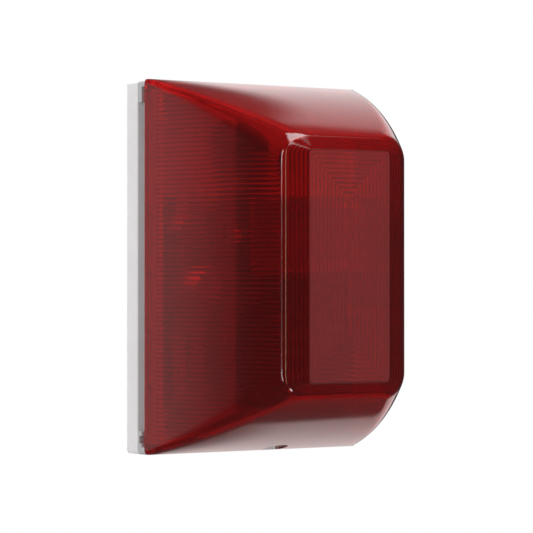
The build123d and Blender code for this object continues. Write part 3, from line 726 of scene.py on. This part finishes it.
def tube(bore, radius, start, end):
    """The outline of a tube, for spun."""
    return [(bore, start), (radius, start), (radius, end), (bore, end)]


def out_of_wall(x, z):
    """Placing for pieces turned about a line out of the wall."""
    return lambda a, b, along: place(x + a, along, z + b)


def lying_across(depth, z):
    """Placing for pieces turned about a line from left to right."""
    return lambda a, b, along: place(along, depth + a, z + b)


def upright(x, depth):
    """Placing for pieces turned about an upright line."""
    return lambda a, b, along: place(x + a, depth + b, along)


def wire(bm, route, radius, sides=8):
    """A round wire through a list of points, with closed ends."""
    up = Vector((0.31, 0.52, 0.79))
    rings = []
    for number, point in enumerate(route):
        along = route[min(number + 1, len(route) - 1)] - route[max(number - 1, 0)]
        along.normalize()
        across = along.cross(up).normalized()
        up = across.cross(along)
        rings.append([
            bm.verts.new(point + (across * a + up * b) * MM) for a, b in circle(radius, sides)
        ])
    for first, second in zip(rings, rings[1:]):
        for step in range(sides):
            after = (step + 1) % sides
            bm.faces.new((first[step], first[after], second[after], second[step]))
    bm.faces.new(list(reversed(rings[0])))
    bm.faces.new(rings[-1])


def finished(bm, name, look, replaced=(), body="base", sharp=30.0):
    """Turn a bmesh into a piece with its material, replaced nodes and body."""
    bmesh.ops.recalc_face_normals(bm, faces=bm.faces)
    piece = finish_mesh(bm, name, sharp)
    piece.data.materials.append(MATERIALS[look])
    if body:
        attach(piece, body)
    if replaced:
        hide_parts(*replaced)
    return piece


# -------- cover
BORDER = 0.4
LOCK_X = 7.5
LOCK_DEPTH = 15.0
BOSS_R = 5.6
BOSS_TOP = -60.3
HEAD_SEAT = -61.7
HEAD_HOLE_R = 4.4
SHANK_HOLE_R = 1.7
POST_X, POST_Z, POST_BACK, POST_R = 31.0, -44.5, 22.7, 2.2
HOOK_XS = (-22.0, 22.0)
HOOK_HALF = 4.0
# a hook's outline behind the top edge, as (depth, height)
HOOK_OUTLINE = [
    (7.7, 61.3), (7.7, 63.7), (9.7, 62.3), (11.5, 62.3), (11.5, 63.2), (13.5, 63.2), (13.5, 61.3),
]


def wall_depth(inset):
    """How deep the outer wall is where it has leaned in by an inset."""
    start = WALL_LEANS[1]
    lean = math.acos(math.cos(start) - inset / WALL_RADIUS)
    return REAR + WALL_RADIUS * (math.sin(lean) - math.sin(start))


def boolean(target, bm, operation):
    """Join a closed mesh to the target, or cut it away."""
    bmesh.ops.recalc_face_normals(bm, faces=bm.faces)
    tool = finish_mesh(bm, "tool")
    change = target.modifiers.new("change", "BOOLEAN")
    change.object = tool
    change.operation = operation
    change.solver = "MANIFOLD"
    depsgraph = bpy.context.evaluated_depsgraph_get()
    mesh = bpy.data.meshes.new_from_object(target.evaluated_get(depsgraph))
    target.modifiers.clear()
    target.data = mesh
    bpy.data.objects.remove(tool)


def add_cover_details(shell):
    """The tamper post, the boss and hole for the cover screw, and the two hooks."""
    added = bmesh.new()
    skin_middle = SKIN / 2

    def boss_foot(a, b):
        depth = max(LOCK_DEPTH + b, REAR)
        return place(LOCK_X + a, depth, skin_middle - wall_point(1, depth - REAR)[0])

    def post_front(a, b):
        return place(POST_X + a, wall_depth(PLATE_HALF[0] - POST_X - a - skin_middle), POST_Z + b)

    prism(
        added, circle(BOSS_R), boss_foot,
        lambda a, b: place(LOCK_X + a, max(LOCK_DEPTH + b, REAR), BOSS_TOP),
    )
    prism(
        added, circle(POST_R), lambda a, b: place(POST_X + a, POST_BACK, POST_Z + b), post_front
    )
    for hook_x in HOOK_XS:
        left, right = [
            lambda depth, z, x=side: place(x, depth, z)
            for side in (hook_x - HOOK_HALF, hook_x + HOOK_HALF)
        ]
        prism(added, HOOK_OUTLINE, left, right)
    boolean(shell, added, "UNION")
    hole = bmesh.new()
    below, above = -PLATE_HALF[1] - 2.0, BOSS_TOP + 2.0
    stepped = [
        (0.0, below), (HEAD_HOLE_R, below), (HEAD_HOLE_R, HEAD_SEAT),
        (SHANK_HOLE_R, HEAD_SEAT), (SHANK_HOLE_R, above), (0.0, above),
    ]
    spun(hole, stepped, upright(LOCK_X, LOCK_DEPTH), 48)
    boolean(shell, hole, "DIFFERENCE")


def border_front(shell):
    """Add a narrow border inside the flat front's edge, which keeps its shading flat."""
    bm = bmesh.new()
    bm.from_mesh(shell.data)
    bm.normal_update()
    flat = [face for face in bm.faces if face.normal.y < -0.99999
            and -face.calc_center_median().y > (FACE - 0.05) * MM]
    bmesh.ops.inset_region(bm, faces=flat, thickness=BORDER * MM, use_even_offset=True)
    bm.to_mesh(shell.data)
    bm.free()


def make_lens():
    """The red cover, fluted inside, with what is moulded onto it."""
    shell = finish_mesh(lens_shell(), "fluted_cover")
    for name in LENS_REDS:
        shell.data.materials.append(MATERIALS[name])
    add_cover_details(shell)
    border_front(shell)
    shell.data.shade_smooth()
    shell.data.set_sharp_from_angle(angle=math.radians(15.0))
    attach(shell, "cover")
    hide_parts("lens_cover")


# -------- wound and glass pieces
def middle_and_size(name):
    """A CAD node's middle and size, both as (across, out from the wall, up)."""
    low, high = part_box(name)
    centre = (low + high) / 2 / MM
    return (centre.x, -centre.y, centre.z), tuple((high - low) / MM)


def make_tamper_spring():
    """A coil spring with closed end turns, between the switch and its plunger."""
    (x, depth, z), (width, length, _) = middle_and_size("tamper_spring")
    wire_r = 0.2
    radius = width / 2 - wire_r
    turns = 5.0
    steps = 150
    route = []
    for step in range(steps + 1):
        share = step / steps
        a, b = polar(radius, 2 * math.pi * turns * share)
        along = depth + (smooth(share * 1.1 - 0.05) - 0.5) * (length - 2 * wire_r)
        route.append(place(x + a, along, z + b))
    bm = bmesh.new()
    wire(bm, route, wire_r)
    spring = finished(bm, "tamper_coil", "spring_steel", ["tamper_spring"], None)
    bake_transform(spring)


def make_choke():
    """A ferrite ring with one layer of copper wound round it."""
    (x, depth, z), (width, length, _) = middle_and_size("choke_coil")
    wire_r = 0.34
    bore_r = 3.0
    outer, inner = width / 2 - 2 * wire_r, bore_r + 2 * wire_r
    half_long = length / 2 - 2 * wire_r
    bevel = 0.5
    bm = bmesh.new()
    ring = [
        (inner, depth - half_long + bevel), (inner + bevel, depth - half_long),
        (outer - bevel, depth - half_long), (outer, depth - half_long + bevel),
        (outer, depth + half_long - bevel), (outer - bevel, depth + half_long),
        (inner + bevel, depth + half_long), (inner, depth + half_long - bevel),
    ]
    spun(bm, ring, out_of_wall(x, z), 40)
    finished(bm, "choke_core", "ferrite")
    turns, covered = 27, 0.93
    steps = 16 * turns
    route = []
    for step in range(steps + 1):
        turn = 2 * math.pi * step / 16
        around = 2 * math.pi * step / steps * covered
        across = math.copysign(abs(math.cos(turn)) ** 0.5, math.cos(turn))
        along = math.copysign(abs(math.sin(turn)) ** 0.5, math.sin(turn))
        a, b = polar((outer + inner) / 2 + across * ((outer - inner) / 2 + wire_r), around)
        route.append(place(x + a, depth + along * (half_long + wire_r), z + b))
    bm = bmesh.new()
    wire(bm, route, wire_r, 6)
    finished(bm, "choke_winding", "copper", ["choke_coil"])


def make_transformer_winding():
    """Turns of enamelled wire laid side by side round the bobbin."""
    (x, depth, z), (width, length, height) = middle_and_size("transformer_winding")
    wire_r = 0.3
    turns = int(length / (2 * wire_r) - 1)
    corner = 2.0
    core_share = 0.93
    flat_x, flat_z = width / 2 - wire_r - corner, height / 2 - wire_r - corner
    lap = []
    for quarter in range(4):
        for step in range(6):
            turn = math.pi / 2 * (quarter + step / 5)
            sign_x = 1 if quarter in (0, 3) else -1
            sign_z = 1 if quarter in (0, 1) else -1
            a, b = polar(corner, turn)
            lap.append((sign_x * flat_x + a, sign_z * flat_z + b))
    steps = turns * len(lap)
    route = []
    for step in range(steps + 1):
        a, b = lap[step % len(lap)]
        along = depth - length / 2 + wire_r + step / steps * (length - 2 * wire_r)
        route.append(place(x + a, along, z + b))
    bm = bmesh.new()
    wire(bm, route, wire_r, 6)
    prism(
        bm,
        [(a * core_share, b * core_share) for a, b in lap],
        lambda a, b: place(x + a, depth - length / 2 + wire_r, z + b),
        lambda a, b: place(x + a, depth + length / 2 - wire_r, z + b),
    )
    finished(bm, "transformer_turns", "copper", ["transformer_winding"])


def make_flash_tube():
    """A hollow glass tube with two electrodes, and the trigger wire wound round it."""
    (x, depth, z), (length, _, height) = middle_and_size("flash_tube")
    radius = height / 2
    bore = radius - 0.6
    bm = bmesh.new()
    ends = (x - length / 2, x + length / 2)
    spun(bm, tube(bore, radius, *ends), lying_across(depth, z), 32)
    finished(bm, "flash_tube_glass", "clear_glass", ["flash_tube"])
    bm = bmesh.new()
    for end, inwards in zip(ends, (1, -1)):
        tips = [(0.0, end), (0.55, end), (0.55, end + 3.0 * inwards), (1.0, end + 3.2 * inwards)]
        tips += [(1.0, end + 5.6 * inwards), (0.7, end + 6.0 * inwards), (0.0, end + 6.2 * inwards)]
        spun(bm, tips, lying_across(depth, z), 20)
    finished(bm, "tube_electrodes", "tungsten")
    bm = bmesh.new()
    turns = 9
    steps = 20 * turns
    wire_r = 0.12
    route = []
    for step in range(steps + 1):
        a, b = polar(radius + wire_r, 2 * math.pi * turns * step / steps)
        route.append(place(x + (step / steps - 0.5) * (length - 4.0), depth + a, z + b))
    wire(bm, route, wire_r, 6)
    finished(bm, "trigger_wire", "tinned")


def make_fuse():
    """A glass cartridge fuse: a hollow tube, two caps and the element."""
    (x, depth, z), (length, _, height) = middle_and_size("fuse")
    radius = height / 2
    cap_length = 4.0
    cap_skin = 0.4
    bm = bmesh.new()
    left, right = x - length / 2, x + length / 2
    body = radius - 0.2
    bore = body - 0.5
    ends = (left + 0.5, right - 0.5)
    spun(bm, tube(bore, body, *ends), lying_across(depth, z), 28)
    finished(bm, "fuse_tube", "clear_glass", ["fuse"])
    bm = bmesh.new()
    for end, inwards in ((left, 1), (right, -1)):
        rim = end + cap_length * inwards
        floor = end + (cap_skin + 0.05) * inwards
        shape = [
            (0.0, end), (radius - cap_skin, end), (radius, end + cap_skin * inwards),
            (radius, rim), (body + 0.02, rim), (body + 0.02, floor), (0.0, floor),
        ]
        spun(bm, shape, lying_across(depth, z), 28)
    element = [(ends[0], z - 0.4), (x, z), (ends[1], z + 0.4)]
    wire(bm, [place(across, depth, up) for across, up in element], 0.12, 6)
    finished(bm, "fuse_caps", "tinned")


RESISTOR_STARTS = [(-15.2, 2.6), (-15.2, 5.4), (9.6, -3.2), (9.6, -6.2)]
DIODE_HEIGHTS = [2.0, 5.4, 8.8]
BEND_R = 0.5


def make_lead_bends():
    """The bent ends of the resistors' and diodes' leads, each in its solder on the board."""
    board = -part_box("circuit_board")[0].y / MM
    bends = bmesh.new()
    solder = bmesh.new()
    # resistors and then diodes: left and right ends, height, how far off the board, wire radius
    rows = [(left, left + 8.6, z, 1.2, 0.3) for left, z in RESISTOR_STARTS]
    rows += [(8.6, 17.8, z, 1.4, 0.4) for z in DIODE_HEIGHTS]
    for left, right, z, reach, radius in rows:
        for end, outwards in ((left, -1), (right, 1)):
            foot = end + outwards * BEND_R
            route = []
            for step in range(7):
                turn = math.pi / 2 * step / 6
                out, drop = BEND_R * math.sin(turn), BEND_R * (1 - math.cos(turn))
                route.append(place(end + outwards * out, board + reach - drop, z))
            route.append(place(foot, board - 0.1, z))
            wire(bends, route, radius, 10)
            dome = [(0.0, 0.0), (0.85, 0.0), (0.8, 0.15), (0.5, 0.4)]
            dome += [(radius + 0.05, min(0.7, reach)), (0.0, min(0.72, reach))]
            dome = [(across, board + rise) for across, rise in dome]
            spun(solder, dome, out_of_wall(foot, z), 16)
    finished(bends, "lead_bends", "tinned")
    finished(solder, "solder_joints", "solder", sharp=50.0)


# -------- banded and clear materials
def position(tree, axis):
    """One object coordinate in millimetres."""
    return node(tree, "ShaderNodeSeparateXYZ", Vector=place_coordinates(tree)).outputs[axis]


def banded(name, value_of, stops, roughness):
    """Colours in bands along a piece, with bare metal where they are silver. value_of gives
    the place in millimetres; stops are (place, colour), each holding until the next."""
    made, tree, shader = principled(name, stops[0][1], roughness)
    start, end = stops[0][0], stops[-1][0]
    share = ramp(tree, value_of(tree), start, end, shape="LINEAR")
    bands = [((at - start) / (end - start), colour) for at, colour in stops]
    bare = [(at, WHITE if colour == SILVER else (0.0, 0.0, 0.0)) for at, colour in bands]
    set_inputs(
        tree, shader, Base_Color=ramp_colour(tree, share, bands, "CONSTANT"),
        Metallic=ramp_colour(tree, share, bare, "CONSTANT"),
    )
    speckle = noise(tree, place_coordinates(tree), 2.5, 3.0)
    vary_roughness(tree, shader, speckle, roughness - 0.06, roughness + 0.08)
    bump(tree, shader, speckle, 0.01)
    return made


def across(tree):
    """Millimetres to the right."""
    return position(tree, "X")


def outwards(tree):
    """Millimetres out from the wall."""
    return math_node(tree, "MULTIPLY", position(tree, "Y"), -1.0)


def plate_plastic():
    """White plastic, with painted shade greying it in the recess along the sound slots."""
    made = moulded("white_plastic", (0.70, 0.68, 0.70), 0.45, 2.2, 0.02, 0.03)
    tree = made.node_tree
    shader = tree.nodes["Principled BSDF"]
    # painted shade: the colour falls to about half more than 7 mm out from the wall and beyond 41
    # mm to either side, in the recess
    past_face = ramp(tree, outwards(tree), 6.6, 7.4)
    near_side = ramp(tree, math_node(tree, "ABSOLUTE", across(tree)), 40.0, 42.0)
    painted_shade = math_node(tree, "MULTIPLY", past_face, near_side)
    plain = shader.inputs["Base Color"].links[0].from_socket
    share = ramp(tree, painted_shade, 0.0, 1.0, 1.0, 0.52)
    set_inputs(tree, shader, Base_Color=math_node(tree, "SCALE", plain, kind=VECTOR, Scale=share))
    return made


def resistor_place(tree):
    """Millimetres along each resistor, for both columns of resistors."""
    return math_node(tree, "MODULO", math_node(tree, "ADD", across(tree), 40.0), 24.8)


def solder_mask(name, mask, track):
    """Solder mask over copper: tracks stand a little proud, in runs both ways."""
    made, tree, shader = principled(name, mask, 0.34, Coat_Weight=0.3, Coat_Roughness=0.12)
    pitch, run_length = 1.6, 7.0
    height = None
    for axis, other in (("X", "Z"), ("Z", "X")):
        lane = math_node(tree, "DIVIDE", position(tree, axis), pitch)
        off_middle = math_node(tree, "SUBTRACT", math_node(tree, "FRACT", lane), 0.5)
        stripe = math_node(tree, "LESS_THAN", math_node(tree, "ABSOLUTE", off_middle), 0.17)
        runs = math_node(tree, "DIVIDE", position(tree, other), run_length)
        cell = node(
            tree, "ShaderNodeCombineXYZ",
            X=math_node(tree, "FLOOR", lane), Y=math_node(tree, "FLOOR", runs),
        )
        pick = node(tree, "ShaderNodeTexWhiteNoise", Vector=cell.outputs[0])
        picked = math_node(tree, "GREATER_THAN", pick.outputs["Value"], 0.62)
        run = math_node(tree, "MULTIPLY", stripe, picked)
        height = run if height is None else math_node(tree, "MAXIMUM", height, run)
    colour = ramp_colour(tree, height, [(0.0, mask), (1.0, track)])
    set_inputs(tree, shader, Base_Color=colour)
    bump(tree, shader, height, 0.04)
    return made


def clear(name, colour, roughness, ior):
    """Clear glass or resin that also lets light through to what is behind it."""
    made, tree, shader = principled(name, colour, roughness, IOR=ior, Transmission_Weight=1.0)
    bump(tree, shader, noise(tree, place_coordinates(tree, (0.3, 1.0, 1.0)), 0.8, 2.0), 0.01)
    pass_light(tree, shader, scaled(colour, 0.95))
    return made


# -------- looks of the CAD nodes
SILVER = (0.75, 0.74, 0.72)
BLACK = (0.022, 0.022, 0.024)
CREAM = (0.62, 0.52, 0.36)
LACQUER = (0.55, 0.42, 0.26)
MATERIALS = {
    "red_lens": lens_red("red_lens", LENS_COLOUR),
    # a copy of the red at a third of its strength: painted shade lines in the flute grooves
    "groove_shade_red": lens_red("groove_shade_red", scaled(LENS_COLOUR, 0.35)),
    # lighter or milkier copies of the red for the flat front, the top and bottom walls and the side
    # walls' rear: painted light
    "lit_front_red": lens_red("lit_front_red", (0.80, 0.02, 0.022), 0.86),
    "lit_top_bottom_red": lens_red("lit_top_bottom_red", scaled(LENS_COLOUR, 1.1), 0.91),
    "lit_side_red": lens_red("lit_side_red", LENS_COLOUR, 0.87),
    "clear_glass": clear("clear_glass", (0.97, 0.98, 0.98), 0.02, 1.5),
    "copper": metal("copper", (0.66, 0.24, 0.09), 0.28, 4.0, 0.01),
    "ferrite": moulded("ferrite", (0.045, 0.042, 0.042), 0.6, 5.0, 0.03, 0.2),
    "tungsten": metal("tungsten", (0.48, 0.47, 0.46), 0.42, 5.0, 0.02),
    "tinned": metal("tinned", SILVER, 0.27, 3.0, 0.01, (0.4, 1.0, 1.0)),
    "solder": metal("solder", (0.70, 0.70, 0.69), 0.22, 1.5, 0.03),
    "spring_steel": metal("spring_steel", (0.58, 0.57, 0.55), 0.24, 6.0, 0.008),
}
# One material for each CAD node that shows as it is.
NODE_LOOKS = {
    "back_plate": plate_plastic(),
    "circuit_board": solder_mask("board_mask", (0.50, 0.49, 0.46), (0.58, 0.57, 0.53)),
    "horn_housing": moulded("horn_plastic", (0.035, 0.034, 0.036), 0.45, 2.5, 0.025, 0.15),
    "horn_grille": moulded("grille_plastic", (0.06, 0.06, 0.062), 0.5, 3.5, 0.03, 0.12),
    "horn_driver": metal("driver_metal", (0.55, 0.54, 0.51), 0.34, 1.2, 0.02),
    "horn_diaphragm": metal("diaphragm_film", (0.62, 0.60, 0.55), 0.22, 0.8, 0.02),
    "horn_header": moulded("header_nylon", CREAM, 0.4, 3.0, 0.015, 0.05),
    "horn_plug": moulded("plug_nylon", (0.68, 0.64, 0.55), 0.36, 3.4, 0.012, 0.05),
    "horn_leads": banded(
        "lead_sleeve", across, [(-9.0, BLACK), (-5.0, (0.45, 0.02, 0.02)), (-1.0, BLACK)], 0.38,
    ),
    "screw_retainer": moulded("retainer_nylon", (0.72, 0.70, 0.64), 0.38, 4.0, 0.01, 0.05),
    "cable_grommet": moulded("grommet_rubber", (0.028, 0.028, 0.03), 0.62, 1.2, 0.04, 0.2),
    "cover_screw": metal("zinc_screw", (0.66, 0.65, 0.62), 0.28, 1.6, 0.012, (1.0, 1.0, 6.0)),
    "board_screws": metal("pan_screw", (0.62, 0.61, 0.60), 0.26, 2.0, 0.012, (1.0, 5.0, 1.0)),
    "horn_screws": metal("black_screw", (0.06, 0.06, 0.065), 0.36, 2.0, 0.012, (1.0, 5.0, 1.0)),
    "reflector_stand": moulded("stand_plastic", (0.10, 0.10, 0.105), 0.46, 2.6, 0.02, 0.12),
    "strobe_reflector": metal(
        "reflector_bright", (0.86, 0.86, 0.86), 0.12, 0.5, 0.015, spread=0.03
    ),
    "tube_caps": metal("cap_metal", (0.60, 0.59, 0.57), 0.3, 1.0, 0.02, (5.0, 1.0, 1.0)),
    "tube_leads": metal("lead_wire", SILVER, 0.3, 3.0, 0.01, (1.0, 0.4, 1.0)),
    "trigger_coil": moulded("coil_black", (0.03, 0.03, 0.034), 0.3, 2.0, 0.01, 0.2),
    "storage_capacitor": banded(
        "capacitor_sleeve", outwards,
        [(11.6, (0.30, 0.31, 0.34)), (31.5, SILVER), (32.1, SILVER)], 0.32,
    ),
    "filter_capacitors": banded(
        "filter_sleeve", outwards,
        [(11.6, (0.26, 0.27, 0.31)), (22.15, SILVER), (22.4, SILVER)], 0.32,
    ),
    "step_up_transformer": moulded("core_ferrite", (0.05, 0.048, 0.047), 0.55, 4.0, 0.03, 0.2),
    "controller_chip": moulded("chip_epoxy", (0.022, 0.022, 0.024), 0.5, 6.0, 0.012, 0.2),
    "chip_legs": metal("chip_legs", SILVER, 0.25, 4.0, 0.01, (1.0, 1.0, 0.5)),
    "heatsink": metal("heatsink_alloy", (0.52, 0.53, 0.55), 0.42, 3.0, 0.02, (1.0, 0.15, 1.0)),
    "driver_transistor": banded(
        "transistor_case", across, [(28.0, BLACK), (32.1, SILVER), (33.0, SILVER)], 0.42,
    ),
    "power_diodes": banded(
        "diode_epoxy", across,
        [(8.0, SILVER), (10.62, BLACK), (14.2, (0.7, 0.7, 0.7)), (15.0, BLACK),
         (15.78, SILVER), (18.0, SILVER)], 0.36,
    ),
    "resistors": banded(
        "resistor_lacquer", resistor_place,
        [(0.0, SILVER), (1.82, LACQUER), (2.5, (0.25, 0.06, 0.02)), (3.0, LACQUER),
         (3.6, BLACK), (4.1, LACQUER), (4.7, (0.55, 0.16, 0.02)), (5.2, LACQUER),
         (5.9, (0.50, 0.34, 0.08)), (6.3, LACQUER), (6.78, SILVER), (8.6, SILVER)], 0.34,
    ),
    "status_leds": clear("led_clear", (0.92, 0.94, 0.95), 0.08, 1.5),
    "terminal_block": moulded("terminal_grey", (0.36, 0.37, 0.37), 0.42, 3.0, 0.015, 0.06),
    "terminal_clamps": metal("clamp_brass", (0.66, 0.47, 0.19), 0.28, 2.0, 0.012, (0.5, 1.0, 1.0)),
    "terminal_screws": metal(
        "terminal_screw", (0.63, 0.62, 0.60), 0.25, 2.4, 0.01, (1.0, 5.0, 1.0)
    ),
    "option_switch_body": moulded("switch_blue", (0.02, 0.055, 0.28), 0.38, 3.0, 0.012, 0.1),
    "volume_control_body": moulded("pot_body", (0.025, 0.07, 0.26), 0.34, 2.6, 0.012, 0.1),
    "volume_rotor": moulded("pot_rotor", (0.66, 0.62, 0.52), 0.4, 3.6, 0.015, 0.06),
    "tamper_switch_body": moulded("tamper_black", (0.03, 0.03, 0.032), 0.46, 2.2, 0.02, 0.15),
    "tamper_plunger": moulded("plunger_white", (0.70, 0.69, 0.66), 0.36, 2.4, 0.012, 0.04),
}
for way in range(1, 5):
    NODE_LOOKS[f"option_slider_{way}"] = moulded(
        f"slider_white_{way}", (0.74, 0.73, 0.70), 0.4, 4.0 + way, 0.01, 0.04
    )
for name, look in NODE_LOOKS.items():
    for slot in NODES[name].material_slots:
        slot.material = look

make_camera()
make_studio()
make_lamps()
make_floor()
make_lens()
make_tamper_spring()
make_choke()
make_transformer_winding()
make_flash_tube()
make_fuse()
make_lead_bends()
